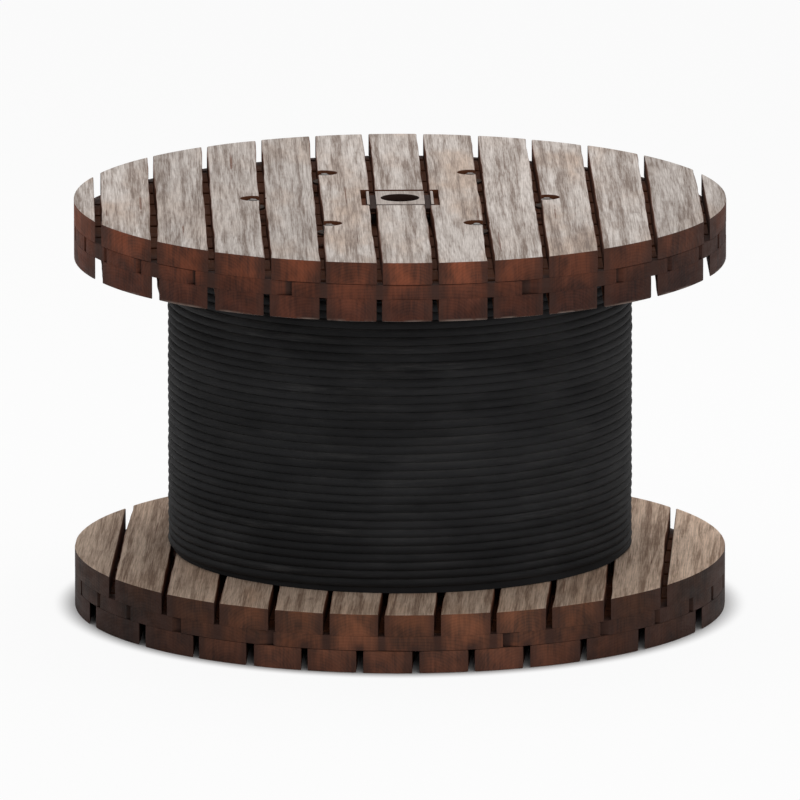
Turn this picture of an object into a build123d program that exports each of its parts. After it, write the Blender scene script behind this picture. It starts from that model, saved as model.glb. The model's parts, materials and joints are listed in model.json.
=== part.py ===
"""A wooden cable drum, full of cable, standing on one of its flanges.

Each flange is three layers of sawn boards: the outer and inner layers run one way and the layer between
them runs across. Flat staves seated in a groove of both flanges make the barrel, six tie rods inside the
barrel clamp the flanges to it, and the cable is wound on the barrel between the flanges.

The origin is on the drum's axis, in the plane of the lower flange's outer face, and +Z is up the axis.
All sizes are in millimetres and all angles in degrees.
"""

from build123d import *
import math
import os

# The whole drum
flange_diameter = 1400.0
flange_gap = 634.0

# Boards of the flanges
outer_board_thickness = 48.0
cross_board_thickness = 32.0
inner_board_thickness = 48.0
board_width = 104.0
board_joint = 14.0
narrowest_board = 30.0

# How far each layer's middle board lies off the axis, and how far each flange's boards are turned
outer_layer_shift = 0.0
cross_layer_shift = 0.0
upper_inner_layer_shift = 0.0
lower_inner_layer_shift = 47.0
lower_flange_turn = -3.5
upper_flange_turn = 0.0
cross_layer_angle = 90.0

# Spindle bore, and the wooden plates let in round it, each grooved where the boards' joints meet it
spindle_bore_diameter = 82.0
centre_plate_side = 144.0
centre_plate_thickness = 18.0
centre_plate_corner_radius = 3.0
centre_plate_joint = 12.0
centre_plate_set_back = 1.0
centre_plate_groove_depth = 9.0

# Tie rods, with a washer and a nut sunk in each flange
tie_rod_count = 6
tie_rod_diameter = 16.0
tie_rod_gap_to_staves = 7.0
tie_rod_chamfer = 1.5
tie_rod_hole_clearance = 0.75
tie_rod_end_beyond_nut = 3.0
washer_diameter = 50.0
washer_thickness = 5.0
nut_across_flats = 24.0
nut_height = 13.0
thread_clearance = 0.05
washer_sink_clearance = 3.0
washer_sink_depth = 24.0

# Barrel
barrel_diameter = 710.0
stave_count = 24
stave_thickness = 22.0
stave_joint = 2.0
groove_depth = 12.0
groove_clearance = 1.0
stave_end_play = 1.0

# Cable wound on the barrel, layer on layer, from flange to flange, with a groove shown for every third turn
cable_diameter = 18.0
layers_wound = 8
turns_between_grooves = 3
turn_bevel = 6.0
winding_clearance = 0.5

# Worked out from the sizes above
flange_radius = flange_diameter / 2
board_pitch = board_width + board_joint
flange_thickness = outer_board_thickness + cross_board_thickness + inner_board_thickness
overall_height = flange_gap + 2 * flange_thickness
stave_half_angle = math.radians(180 / stave_count)
barrel_outer_flat = barrel_diameter / 2 * math.cos(stave_half_angle)
barrel_inner_flat = barrel_outer_flat - stave_thickness
tie_rod_circle_radius = barrel_inner_flat - tie_rod_gap_to_staves - tie_rod_diameter / 2
washer_face = washer_sink_depth - washer_thickness
nut_face = washer_face - nut_height
tie_rod_end = nut_face - tie_rod_end_beyond_nut

# A piece laid on the face below it has its lowest face at the height where it is placed
ON_FACE = (Align.CENTER, Align.CENTER, Align.MIN)


def tie_rod_places():
    """The places of the tie rods round the drum's axis, the first of them on +X."""
    return PolarLocations(tie_rod_circle_radius, tie_rod_count)


def board_edges(shift):
    """The low and high edge of every board of a layer, measured across the boards.

    A strip narrower than narrowest_board isn't laid at the rim: the board beside it runs out there.
    """
    boards_each_side = math.ceil((flange_radius + abs(shift)) / board_pitch)
    edges = []
    for place in range(-boards_each_side, boards_each_side + 1):
        middle = shift + place * board_pitch
        low = max(middle - board_width / 2, -flange_radius)
        high = min(middle + board_width / 2, flange_radius)
        if high - low >= narrowest_board:
            edges.append([low, high])
    edges[0][0] = -flange_radius
    edges[-1][1] = flange_radius
    return edges


def sawn_into_boards(disc, thickness, shift, direction):
    """One layer's boards, sawn from its disc, and turned by direction from lying along Y."""
    boards = []
    for low, high in board_edges(shift):
        strip = Box(high - low, flange_diameter, thickness, align=ON_FACE)
        boards += (disc & Rot(0, 0, direction) * Pos((low + high) / 2, 0, 0) * strip).solids()
    return Compound(children=boards)


def drilled_disc(thickness):
    """A disc with the spindle bore and the tie rods' holes."""
    disc = Cylinder(flange_radius, thickness, align=ON_FACE)
    disc -= Cylinder(spindle_bore_diameter / 2, thickness, align=ON_FACE)
    rod_hole_radius = tie_rod_diameter / 2 + tie_rod_hole_clearance
    return disc - tie_rod_places() * Cylinder(rod_hole_radius, thickness, align=ON_FACE)


def outer_disc(direction):
    """The outer layer's disc, its outer face down, sunk there for the washers and the centre plate."""
    washer_sink = Cylinder(
        washer_diameter / 2 + washer_sink_clearance,
        washer_sink_depth,
        align=ON_FACE,
    )
    plate_sink_side = centre_plate_side + 2 * centre_plate_joint
    plate_sink = Box(
        plate_sink_side,
        plate_sink_side,
        centre_plate_set_back + centre_plate_thickness,
        align=ON_FACE,
    )
    disc = drilled_disc(outer_board_thickness) - tie_rod_places() * washer_sink
    return disc - Rot(0, 0, direction) * plate_sink


def inner_disc():
    """The inner layer's disc, its inner face up, with the round groove that the staves stand in."""
    groove = Cylinder(barrel_diameter / 2 + groove_clearance, groove_depth, align=ON_FACE)
    groove -= Cylinder(barrel_inner_flat - groove_clearance, groove_depth, align=ON_FACE)
    return drilled_disc(inner_board_thickness) - Pos(0, 0, inner_board_thickness - groove_depth) * groove


def flange(inner_layer_shift, direction):
    """One flange's layers of boards and its centre plate by name, its outer face down, at Z = 0."""
    outer = sawn_into_boards(
        outer_disc(direction), outer_board_thickness, outer_layer_shift, direction
    )
    cross = sawn_into_boards(
        drilled_disc(cross_board_thickness),
        cross_board_thickness,
        cross_layer_shift,
        direction + cross_layer_angle,
    )
    inner = sawn_into_boards(
        inner_disc(), inner_board_thickness, inner_layer_shift, direction
    )
    return {
        "flange_outer_boards": outer,
        "flange_cross_boards": Pos(0, 0, outer_board_thickness) * cross,
        "flange_inner_boards": Pos(0, 0, outer_board_thickness + cross_board_thickness) * inner,
        "centre_plate": centre_plate(direction),
    }


def centre_plate(direction):
    """The square plate let into a flange's outer face, set back a little from it.

    Grooves as wide as the joints beside the middle board carry those joints on across the plate.
    """
    outline = RectangleRounded(centre_plate_side, centre_plate_side, centre_plate_corner_radius)
    outline -= Circle(spindle_bore_diameter / 2)
    plate = extrude(outline, centre_plate_thickness)
    groove = Box(board_joint, centre_plate_side, centre_plate_groove_depth, align=ON_FACE)
    for side in (-1, 1):
        plate -= Pos(outer_layer_shift + side * board_pitch / 2, 0, 0) * groove
    return Pos(0, 0, centre_plate_set_back) * Rot(0, 0, direction) * plate


def washer():
    """A tie rod's washer, which bears on the floor of its sink."""
    ring = Circle(washer_diameter / 2) - Circle(tie_rod_diameter / 2 + tie_rod_hole_clearance)
    return Pos(0, 0, washer_face) * extrude(ring, washer_thickness)


def nut():
    """A tie rod's hexagon nut, tight on the washer."""
    hexagon = RegularPolygon(nut_across_flats / 2, 6, major_radius=False)
    hexagon -= Circle(tie_rod_diameter / 2 + thread_clearance)
    return Pos(0, 0, nut_face) * extrude(hexagon, nut_height)


def tie_rod():
    """A round bar from nut to nut through both flanges, chamfered at its ends."""
    length = overall_height - 2 * tie_rod_end
    bar = Cylinder(tie_rod_diameter / 2, length, align=ON_FACE)
    bar = chamfer(bar.edges().filter_by(GeomType.CIRCLE), tie_rod_chamfer)
    return Pos(0, 0, tie_rod_end) * bar


def barrel_staves():
    """The barrel's flat boards, bevelled to meet round the ring, standing in the lower flange's groove."""
    half_joint = stave_joint / 2 / math.cos(stave_half_angle)
    inner_half_width = barrel_inner_flat * math.tan(stave_half_angle) - half_joint
    outer_half_width = barrel_outer_flat * math.tan(stave_half_angle) - half_joint
    section = Polygon(
        (barrel_inner_flat, -inner_half_width),
        (barrel_outer_flat, -outer_half_width),
        (barrel_outer_flat, outer_half_width),
        (barrel_inner_flat, inner_half_width),
        align=None,
    )
    length = flange_gap + 2 * groove_depth - stave_end_play
    stave = Pos(0, 0, flange_thickness - groove_depth) * extrude(section, length)
    return Compound(children=PolarLocations(0, stave_count) * stave)


def cable_winding():
    """The wound cable as one turned ring from flange to flange, grooved between its bands of turns."""
    bore_radius = barrel_diameter / 2 + winding_clearance
    outer_radius = bore_radius + layers_wound * cable_diameter
    bands = round(flange_gap / cable_diameter / turns_between_grooves)
    band_height = flange_gap / bands
    outline = [(bore_radius, 0), (outer_radius - turn_bevel, 0)]
    for band in range(bands):
        lower_edge = band * band_height
        upper_edge = lower_edge + band_height
        outline.append((outer_radius, lower_edge + turn_bevel))
        outline.append((outer_radius, upper_edge - turn_bevel))
        outline.append((outer_radius - turn_bevel, upper_edge))
    outline.append((bore_radius, flange_gap))
    section = Polygon(*outline, align=None)
    return Pos(0, 0, flange_thickness) * revolve(Plane.XZ * section, Axis.Z)


def cable_drum():
    """Every piece of the drum by name, each in its place."""
    lower = flange(lower_inner_layer_shift, lower_flange_turn)
    upper = flange(upper_inner_layer_shift, upper_flange_turn)
    upside_down = Pos(0, 0, overall_height) * Rot(180, 0, 0)
    pieces = {}
    for end, place, layers in (("lower", Location(), lower), ("upper", upside_down, upper)):
        for layer, boards in layers.items():
            pieces[f"{end}_{layer}"] = place * boards
        pieces[f"{end}_washers"] = place * Compound(children=tie_rod_places() * washer())
        pieces[f"{end}_nuts"] = place * Compound(children=tie_rod_places() * nut())
    for number, rod_place in enumerate(tie_rod_places(), start=1):
        pieces[f"tie_rod_{number}"] = rod_place * tie_rod()
    pieces["barrel_staves"] = barrel_staves()
    pieces["cable_winding"] = cable_winding()
    return pieces


os.makedirs("parts", exist_ok=True)
for name, piece in cable_drum().items():
    export_step(piece, f"parts/{name}.step")
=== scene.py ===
"""Finish of the wooden cable drum: sawn boards, centre plates, tie rods, wound cable and a plain studio."""

import json
import math

import bmesh
import bpy
import numpy as np
from bpy.props import FloatProperty, FloatVectorProperty, IntProperty, PointerProperty
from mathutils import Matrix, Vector


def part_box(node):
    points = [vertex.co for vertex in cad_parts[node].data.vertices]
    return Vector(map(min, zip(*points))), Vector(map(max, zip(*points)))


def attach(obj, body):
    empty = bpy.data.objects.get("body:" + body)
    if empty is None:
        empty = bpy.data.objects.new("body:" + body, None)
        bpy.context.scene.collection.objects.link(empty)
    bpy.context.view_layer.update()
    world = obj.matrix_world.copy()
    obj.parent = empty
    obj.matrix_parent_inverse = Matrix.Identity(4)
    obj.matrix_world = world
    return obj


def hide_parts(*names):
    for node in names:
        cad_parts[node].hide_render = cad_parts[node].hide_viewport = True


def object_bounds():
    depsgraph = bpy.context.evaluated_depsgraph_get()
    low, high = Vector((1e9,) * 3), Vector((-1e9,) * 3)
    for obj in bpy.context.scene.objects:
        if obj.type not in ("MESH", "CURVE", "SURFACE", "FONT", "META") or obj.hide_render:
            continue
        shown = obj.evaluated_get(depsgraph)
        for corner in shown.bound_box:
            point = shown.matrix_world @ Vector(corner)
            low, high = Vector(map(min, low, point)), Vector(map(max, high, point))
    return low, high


bl_info = {
    "name": "Cable Drum Finish",
    "version": (1, 0, 0),
    "blender": (4, 5, 0),
    "location": "View3D > Sidebar > Cable Drum",
    "description": "Dresses the packed cable drum in weathered boards and wound cable",
    "category": "Object",
}

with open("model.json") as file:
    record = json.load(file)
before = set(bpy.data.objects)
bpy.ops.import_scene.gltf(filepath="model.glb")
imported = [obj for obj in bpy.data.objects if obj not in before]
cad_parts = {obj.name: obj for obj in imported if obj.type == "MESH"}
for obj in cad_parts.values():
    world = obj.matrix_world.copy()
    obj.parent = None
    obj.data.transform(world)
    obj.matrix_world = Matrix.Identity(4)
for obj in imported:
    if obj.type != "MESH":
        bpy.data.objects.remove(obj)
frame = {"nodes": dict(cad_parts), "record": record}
CAD_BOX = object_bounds()

# What the frame gives
SPINDLE_BORE = next(mount for mount in frame["record"]["mounts"] if mount["name"] == "spindle_bore")
BORE_RADIUS = SPINDLE_BORE["dims"]["r_mm"] / 1000
FLANGE_RADIUS = CAD_BOX[1].x
TIE_RODS = [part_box(name) for name in sorted(frame["nodes"]) if name.startswith("tie_rod")]
ROD_RADIUS = (TIE_RODS[0][1].x - TIE_RODS[0][0].x) / 2
ROD_PLACES = np.array([((low + high) / 2)[:2] for low, high in TIE_RODS])
ENDS = ("lower", "upper")
LAYERS = ("outer", "cross", "inner")

# Tints of each flange's rim at its upper edge, at its lower edge and at its sides: painted shade that darkens
# each rim towards its lower edge, painted light that gives each flange its own tone, and darker sides
RIM_SHADE_TINTS = {
    "upper": ((0.80, 0.73, 0.62), (0.35, 0.35, 0.36), (0.45, 0.55, 0.65)),
    "lower": ((0.72, 0.84, 0.74), (0.60, 0.68, 0.67), (0.22, 0.28, 0.35)),
}
# How far a cutter reaches past what it cuts
CUTTER_REACH = 0.01
# Points nearer than this are welded
WELD_DISTANCE = 1e-6
# How far the blunt tip of the outermost boards lies inside the rim
TIP_INSET = 0.0004


def amount(name, default, description, **kind):
    """A number that the user may change, with its unit or subtype."""
    return FloatProperty(name=name, description=description, default=default, **kind)


def length(name, default, description):
    """A length that the user may change."""
    return amount(name, default, description, unit="LENGTH", precision=4)


def angle(name, degrees, description):
    """An angle that the user may change."""
    return amount(name, math.radians(degrees), description, subtype="ANGLE")


def colour(name, default, description):
    """A colour that the user may change."""
    return FloatVectorProperty(
        name=name, description=description, default=default, subtype="COLOR", min=0.0, max=1.0
    )


class DrumBoardSettings(bpy.types.PropertyGroup):
    """Sizes and colours of the flanges' boards"""

    board_width: length("Board Width", 0.104, "Width of one sawn board")
    joint: length("Joint", 0.014, "Open joint between two boards")
    narrowest: length("Narrowest Board", 0.030, "A narrower strip isn't laid at the rim")
    lower_inner_shift: length("Lower Inner Shift", 0.047, "How far the lower inner boards are shifted")
    edge_radius: length("Edge Radius", 0.0022, "Rounding of the worn board edges")
    end_radius: length("End Radius", 0.0007, "Rounding of the board ends at the rim")
    edge_wander: length("Edge Wander", 0.0017, "How far a sawn edge strays from straight")
    face_step: length("Face Step", 0.0012, "How far one board's face may lie below the next")
    end_step: length("End Step", 0.0008, "How far a board's end may lie inside the rim")
    cup: length("Cup", 0.0006, "How far a board's edges drop below its middle")
    lower_turn: angle("Lower Flange Turn", -3.5, "How far the lower flange's boards are turned")
    face_light: colour("Face Light", (0.62, 0.565, 0.525), "Pale wood of the faces")
    face_dark: colour("Face Dark", (0.19, 0.145, 0.12), "Grain and weathering of the faces")
    face_warm: colour("Face Warm", (0.53, 0.41, 0.33), "Warmer boards and patches")
    rim_light: colour("Rim Light", (0.40, 0.124, 0.068), "Redder wood of the board ends")
    rim_dark: colour("Rim Dark", (0.080, 0.037, 0.029), "Darkest wood of the board ends")
    rim_stain_and_shade: colour("Rim Stain", (0.048, 0.023, 0.017), "Stain on the rim at the open joints")
    # Painted shade and stain at the open joints, and the dark of the joints' walls near the rim
    rim_worn: colour("Rim Worn", (0.24, 0.18, 0.15), "Greyer wood along the upper flange's lowest edge")
    joint_dark: colour("Joint Dark", (0.130, 0.045, 0.020), "Wood inside the joints")
    # Painted light on the lower flange's inner face
    lower_face_light_tint: colour("Lower Tint", (1.0, 0.84, 0.70), "Tint of the lower flange's inner face")


class DrumPlateSettings(bpy.types.PropertyGroup):
    """Sizes and colours of the centre plates and the barrel's staves"""

    joint: length("Joint", 0.012, "Open joint round a centre plate")
    corner: length("Corner", 0.003, "Round corner of a centre plate")
    edge_radius: length("Edge Radius", 0.0015, "Rounding of a centre plate's edges")
    groove_depth: length("Groove Depth", 0.009, "Depth of the grooves that carry the boards' joints on")
    stave_thickness: length("Stave Thickness", 0.022, "Thickness of the barrel's staves")
    stave_count: IntProperty(name="Staves", description="Staves round the barrel", default=24)
    groove_clearance: length("Groove Clearance", 0.001, "Room round the staves in their groove")
    light: colour("Light", (0.52, 0.46, 0.42), "Pale wood of the plates")
    dark: colour("Dark", (0.20, 0.15, 0.125), "Grain of the plates")
    wall: colour("Wall", (0.026, 0.011, 0.007), "Dark wood of the plates' edges, grooves and bore")


class DrumSteelSettings(bpy.types.PropertyGroup):
    """Sizes and colours of the tie rods, washers and nuts"""

    hole_clearance: length("Hole Clearance", 0.00075, "Gap round a tie rod in its hole")
    sink_radius: length("Sink Radius", 0.028, "Radius of the sink round a washer")
    nut_width: length("Nut Width", 0.024, "Width of a nut across its flats")
    thread_pitch: length("Thread Pitch", 0.002, "Pitch of the tie rods' thread")
    thread_depth: length("Thread Depth", 0.0011, "Depth of the tie rods' thread")
    threaded: length("Threaded Length", 0.012, "Length of thread at each end of a tie rod")
    steel: colour("Steel", (0.18, 0.17, 0.16), "Dulled zinc")
    # Painted shade and rust: the washers are darkened as if in the shade of their sinks
    washer: colour("Washer", (0.055, 0.047, 0.042), "Darker metal of the washers")
    rust: colour("Rust", (0.075, 0.036, 0.020), "Brown stain on the steel")


class DrumCableSettings(bpy.types.PropertyGroup):
    """Sizes and colours of the wound cable"""

    diameter: length("Diameter", 0.018, "The cable's diameter")
    swell: length("Swell", 0.0003, "How much wider the cable is drawn, so that its turns touch")
    wander: length("Wander", 0.0008, "How far a turn strays from its place")
    barrel_gap: length("Barrel Gap", 0.0005, "Gap between the barrel and the innermost turns")
    sheath: colour("Sheath", (0.0175, 0.0175, 0.0184), "Black cable sheath")
    # Grey dust, also used as painted light in the grooves between turns
    dust_and_groove_light: colour("Dust", (0.044, 0.043, 0.043), "Grey dust on the sheath")


class DrumStageSettings(bpy.types.PropertyGroup):
    """Camera, lamps and floor"""

    azimuth: angle("Azimuth", -1.3, "Camera's turn round the drum")
    elevation: angle("Elevation", 12, "Camera's height above the horizon")
    distance: length("Distance", 44.0, "From the camera to the drum's middle")
    framed_width: length("Framed Width", 1.72, "Width that the picture shows at the drum")
    floor_side: length("Floor Side", 90.0, "Side of the floor")
    floor_grey: colour("Floor", (0.84, 0.84, 0.84), "Pale floor")
    floor_glow: amount("Floor Glow", 0.93, "Share of plain white in what the camera sees of the floor")
    sky: amount("Sky", 0.42, "Strength of the light from all round")
    key: amount("Key", 100.0, "Power of the lamp overhead", unit="POWER")
    front: amount("Front", 75.0, "Power of the lamp at the front", unit="POWER")


def full_circle(steps):
    """Angles at even steps round a circle."""
    return np.linspace(0, 2 * math.pi, steps, endpoint=False)


def circle(radius, steps):
    """Points round a circle, anticlockwise."""
    turned = full_circle(steps)
    return radius * np.column_stack([np.cos(turned), np.sin(turned)])


def quarter_round(radius):
    """A worn edge, a quarter circle from a side to a face: how far below the face and how far in it lies."""
    quarter = np.linspace(0, math.pi / 2, 4)
    return radius * (1 - np.sin(quarter)), radius * (1 - np.cos(quarter))


def square_angles(steps=36):
    """Angles round a square, close together at its corners: in each quarter they follow a sine."""
    quarter = math.pi / 4 * np.sin(np.linspace(-math.pi / 2, math.pi / 2, steps, endpoint=False))
    return (np.arange(4)[:, None] * math.pi / 2 + quarter).ravel()


def square_radius(half, corner, angles):
    """How far a square with round corners reaches at each angle: to its side, or to the corner's circle."""
    folded = np.abs((angles + math.pi / 4) % (math.pi / 2) - math.pi / 4)
    side = half / np.cos(folded)
    centre = half - corner
    along = centre * (np.cos(folded) + np.sin(folded))
    across = centre * (np.cos(folded) - np.sin(folded))
    round_corner = along + np.sqrt(np.maximum(corner**2 - across**2, 0))
    return np.where(side * np.sin(folded) > centre, round_corner, side)


def turned_about_z(points, turn):
    """Points turned about the drum's axis."""
    c, s = math.cos(turn), math.sin(turn)
    return points @ np.array([[c, s, 0], [-s, c, 0], [0, 0, 1]])


def quads_of_grid(rows, columns, close_rows=False):
    """Quads between rows of points, each a closed loop, and with close_rows from the last row to the first."""
    row = np.arange(rows if close_rows else rows - 1)[:, None]
    column = np.arange(columns)[None, :]
    next_row = (row + 1) % rows
    beside = (column + 1) % columns
    corners = [(row, column), (next_row, column), (next_row, beside), (row, beside)]
    return np.stack([r * columns + c for r, c in corners], axis=-1).reshape(-1, 4)


def joined(surfaces):
    """Several (points, quads) put together as one."""
    starts = np.cumsum([0] + [len(points) for points, _ in surfaces[:-1]])
    points = np.concatenate([points for points, _ in surfaces])
    quads = np.concatenate([quads + start for (_, quads), start in zip(surfaces, starts)])
    return points, quads


def ring(radii, drops, bottom, top, angles):
    """A closed ring, its section carried round the axis and the same above as below: (points, quads).

    The section's upper half runs from the bore outward, each point at its radius and its drop below the top,
    and the lower half mirrors it on the way back. A radius or drop is a number, or a row of numbers for the
    angles where the outline isn't round.
    """
    radii = np.array([radius + 0 * angles for radius in radii])
    drops = np.array([drop + 0 * angles for drop in drops])
    radii = np.concatenate([radii, radii[::-1]])
    heights = np.concatenate([top - drops, bottom + drops[::-1]])
    points = np.stack([radii * np.cos(angles), radii * np.sin(angles), heights], axis=-1)
    return points.reshape(-1, 3), quads_of_grid(len(radii), len(angles), close_rows=True)


def prism(outlines, heights):
    """A closed solid from outlines of equal count at rising heights, with flat ends: (points, faces)."""
    count = len(outlines[0])
    levels = [np.column_stack([outline, np.full(count, z)]) for outline, z in zip(outlines, heights)]
    points = np.concatenate(levels)
    faces = quads_of_grid(len(outlines), count)[:, ::-1].tolist()
    faces.append(list(range(count))[::-1])
    faces.append(list(range(len(points) - count, len(points))))
    return points, faces


def linked(name, data):
    """A new object with that data, in the scene."""
    made = bpy.data.objects.new(name, data)
    bpy.context.scene.collection.objects.link(made)
    return made


def smooth(mesh, sharp_degrees):
    """Smooth shading, but for edges that turn by more than sharp_degrees."""
    mesh.polygons.foreach_set("use_smooth", np.ones(len(mesh.polygons), bool))
    mesh.set_sharp_from_angle(angle=math.radians(sharp_degrees))


def new_object(name, points, quads, uv=None):
    """An object of quads, its poles welded, smooth but for its sharp edges."""
    mesh = bpy.data.meshes.new(name)
    mesh.from_pydata(points, [], quads)
    if uv is not None:
        mesh.uv_layers.new(name="along").data.foreach_set("uv", uv.astype(np.float32).ravel())
    welded = bmesh.new()
    welded.from_mesh(mesh)
    bmesh.ops.remove_doubles(welded, verts=welded.verts, dist=WELD_DISTANCE)
    welded.to_mesh(mesh)
    welded.free()
    smooth(mesh, 40)
    return linked(name, mesh)


def cut_away(piece, solids):
    """Cuts closed solids, none of which overlap, out of a piece, and keeps the result as its mesh."""
    starts = np.cumsum([0] + [len(points) for points, _ in solids]).tolist()
    faces = [[i + start for i in face] for (_, faces), start in zip(solids, starts) for face in faces]
    mesh = bpy.data.meshes.new("cutter")
    mesh.from_pydata(np.concatenate([points for points, _ in solids]), [], faces)
    cutter = linked("cutter", mesh)
    cut = piece.modifiers.new("cut", "BOOLEAN")
    cut.operation = "DIFFERENCE"
    cut.solver = "EXACT"
    cut.object = cutter
    depsgraph = bpy.context.evaluated_depsgraph_get()
    result = bpy.data.meshes.new_from_object(piece.evaluated_get(depsgraph))
    piece.modifiers.clear()
    uncut = piece.data
    piece.data = result
    bpy.data.meshes.remove(uncut)
    bpy.data.objects.remove(cutter)
    bpy.data.meshes.remove(mesh)
    smooth(result, 35)
    result.name = piece.name


def dress(piece, material):
    """Gives a piece one material, in place of any that it has."""
    piece.data.materials.clear()
    piece.data.materials.append(material)


def finish_piece(piece, material, slot, *nodes):
    """Gives a finished piece its material, and stands it for its CAD nodes; the slot is not used."""
    dress(piece, material)
    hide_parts(*nodes)
    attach(piece, "root")


def layer_shift(end, layer, boards):
    """How far a layer's middle board lies off the axis."""
    return boards.lower_inner_shift if (end, layer) == ("lower", "inner") else 0.0


def layer_turn(end, layer, boards):
    """How far a layer's boards are turned from lying along Y."""
    turn = boards.lower_turn if end == "lower" else 0.0
    return turn + math.pi / 2 if layer == "cross" else turn


def sides(end):
    """Which corner of a box lies at its flange's outer side and which at its inner side: 0 low, 1 high."""
    return (0, 1) if end == "lower" else (1, 0)


def faces_up(end, layer):
    """Whether the side of a layer that shows is its upper one."""
    return (end == "upper") == (layer != "inner")


def board_edges(boards, shift):
    """Low and high edge of each board of a layer, and the boards' numbers, counted from the middle one.

    A strip that is too narrow isn't laid at the rim: the board beside it runs out there, to a blunt tip.
    """
    most_beside_middle = 8
    numbers = np.arange(-most_beside_middle, most_beside_middle + 1)
    middles = numbers * (boards.board_width + boards.joint) + shift
    low = np.maximum(middles - boards.board_width / 2, -FLANGE_RADIUS)
    high = np.minimum(middles + boards.board_width / 2, FLANGE_RADIUS)
    laid = high - low >= boards.narrowest
    low, high = low[laid], high[laid]
    high[-1] = FLANGE_RADIUS - TIP_INSET
    low[0] = -high[-1]
    return low, high, numbers[laid]


def wandering(rng, size):
    """A smooth random function of a length in metres: a sum of five sines, the shorter the smaller."""
    lengths = [1.2, 0.7, 0.4, 0.22, 0.13]
    shares = [1.0, 0.6, 0.4, 0.3, 0.2]
    waves = 2 * math.pi / (rng.uniform(0.8, 1.2, 5) * lengths)
    phases = rng.uniform(0, 2 * math.pi, 5)
    sizes = size * rng.uniform(0.4, 1.0, 5) * shares
    return lambda y: (sizes * np.sin(np.multiply.outer(y, waves) + phases)).sum(-1)


def board_section():
    """A board's section, a rectangle with round corners: from left to right underneath, and back on top.

    Each point has its share of the way across, its place on its corner's circle sideways and upward, and
    whether it lies on top.
    """
    corner = np.linspace(math.pi, 1.5 * math.pi, 4)
    flat = np.linspace(0, 1, 8)[1:-1]
    left = [0 * corner, np.cos(corner), np.sin(corner)]
    right = [0 * corner + 1, -np.cos(corner[::-1]), np.sin(corner[::-1])]
    under = np.concatenate([left, [flat, 0 * flat, 0 * flat - 1], right], axis=1)
    over = under[:, ::-1] * [[1], [1], [-1]]
    on_top = np.repeat([False, True], under.shape[1])
    return *np.concatenate([under, over], axis=1), on_top


def board_rows(steps, end_radius):
    """The rows of points along a board, whose ends are rounded along a quarter circle.

    Each row has its share of the way along, how far its section is drawn in, and how far it keeps from the
    near and from the far end.
    """
    draw_in, reach = quarter_round(end_radius)
    middle = np.linspace(0, 1, steps + 1)[1:-1]
    plain = 0 * middle
    kept = np.full(len(reach), end_radius)
    rows = [
        (0 * reach, middle, 0 * reach + 1),
        (draw_in, plain, draw_in[::-1]),
        (reach, plain + end_radius, kept),
        (kept, plain + end_radius, reach[::-1]),
    ]
    return [np.concatenate(row)[:, None] for row in rows]


def sawn_board(low, high, bottom, top, boards, rng, steps, face_up):
    """A board that lies along Y from rim to rim, with worn edges.

    Its section is carried along the board in rows. A point's place along Y is its row's share of the way
    between the two rim arcs, each taken at the point's own distance across the flange. The arcs lie a little
    inside the rim and a little askew. A strip of quads closes each end.
    """
    drop = rng.uniform(0, boards.face_step)
    bottom, top = (bottom, top - drop) if face_up else (bottom + drop, top)
    radius = boards.edge_radius * rng.uniform(0.8, 1.3)
    share, sideways, upward, on_top = board_section()
    along, inset, from_near, from_far = board_rows(steps, boards.end_radius)

    least_curl = 0.2 * radius
    curl = np.maximum(radius - inset, least_curl)
    left = np.arcsin((low + inset + curl) / FLANGE_RADIUS)
    right = np.arcsin((high - inset - curl) / FLANGE_RADIUS)
    x = FLANGE_RADIUS * np.sin(left + (right - left) * share) + curl * sideways
    across = (x - low) / (high - low)
    half_length = math.sqrt(FLANGE_RADIUS**2 - ((low + high) / 2) ** 2)
    rough_y = (2 * along - 1) * half_length
    left_edge = wandering(rng, boards.edge_wander)(rough_y)
    right_edge = wandering(rng, boards.edge_wander)(rough_y)
    at_rim = max(-low, high) >= FLANGE_RADIUS - TIP_INSET
    if not at_rim:
        x = x + (1 - across) * left_edge + across * right_edge
    trims = rng.uniform(0, boards.end_step, 2) * (not at_rim)
    skews = rng.uniform(-0.4, 0.4, 2)
    mean_share = 0.6
    near_arc, far_arc = [
        np.sqrt(np.maximum((FLANGE_RADIUS - trim * (mean_share + skew * (across - 0.5))) ** 2 - x**2, 0))
        for trim, skew in zip(trims, skews)
    ]
    near = np.minimum(from_near - near_arc, 0)
    far = np.maximum(far_arc - from_far, 0)
    y = near + (far - near) * along

    under = bottom + inset + curl * (1 + upward)
    over = top - inset - curl * (1 - upward)
    z = np.where(on_top, over, under)
    crown = boards.cup * rng.uniform(-0.3, 1.0) * (2 * across - 1) ** 2
    height = (z - bottom) / (top - bottom)
    z = np.clip(z - crown * height if face_up else z + crown * (1 - height), bottom, top)

    rows, columns = x.shape
    step = np.arange(columns // 2 - 1)
    cap = np.stack([step, step + 1, columns - 2 - step, columns - 1 - step], axis=-1)
    quads = np.concatenate([quads_of_grid(rows, columns), cap, cap[:, ::-1] + (rows - 1) * columns])
    return np.stack([x, y, z], axis=-1).reshape(-1, 3), quads


def flange_layer(end, layer, boards, seed):
    """The boards of one layer of a flange, laid side by side and turned, as (points, quads)."""
    bottom, top = (corner.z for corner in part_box(f"{end}_flange_{layer}_boards"))
    low, high, _ = board_edges(boards, layer_shift(end, layer, boards))
    rng = np.random.default_rng(seed)
    steps = 16 if layer == "cross" else 64
    face_up = faces_up(end, layer)
    laid = [sawn_board(*edges, bottom, top, boards, rng, steps, face_up) for edges in zip(low, high)]
    points, quads = joined(laid)
    return turned_about_z(points, layer_turn(end, layer, boards)), quads


def barrel_radius(plates):
    """How far the barrel's outer corners reach: its outer flats' distance over the cosine of half a stave."""
    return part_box("barrel_staves")[1].x / math.cos(math.pi / plates.stave_count)


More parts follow.
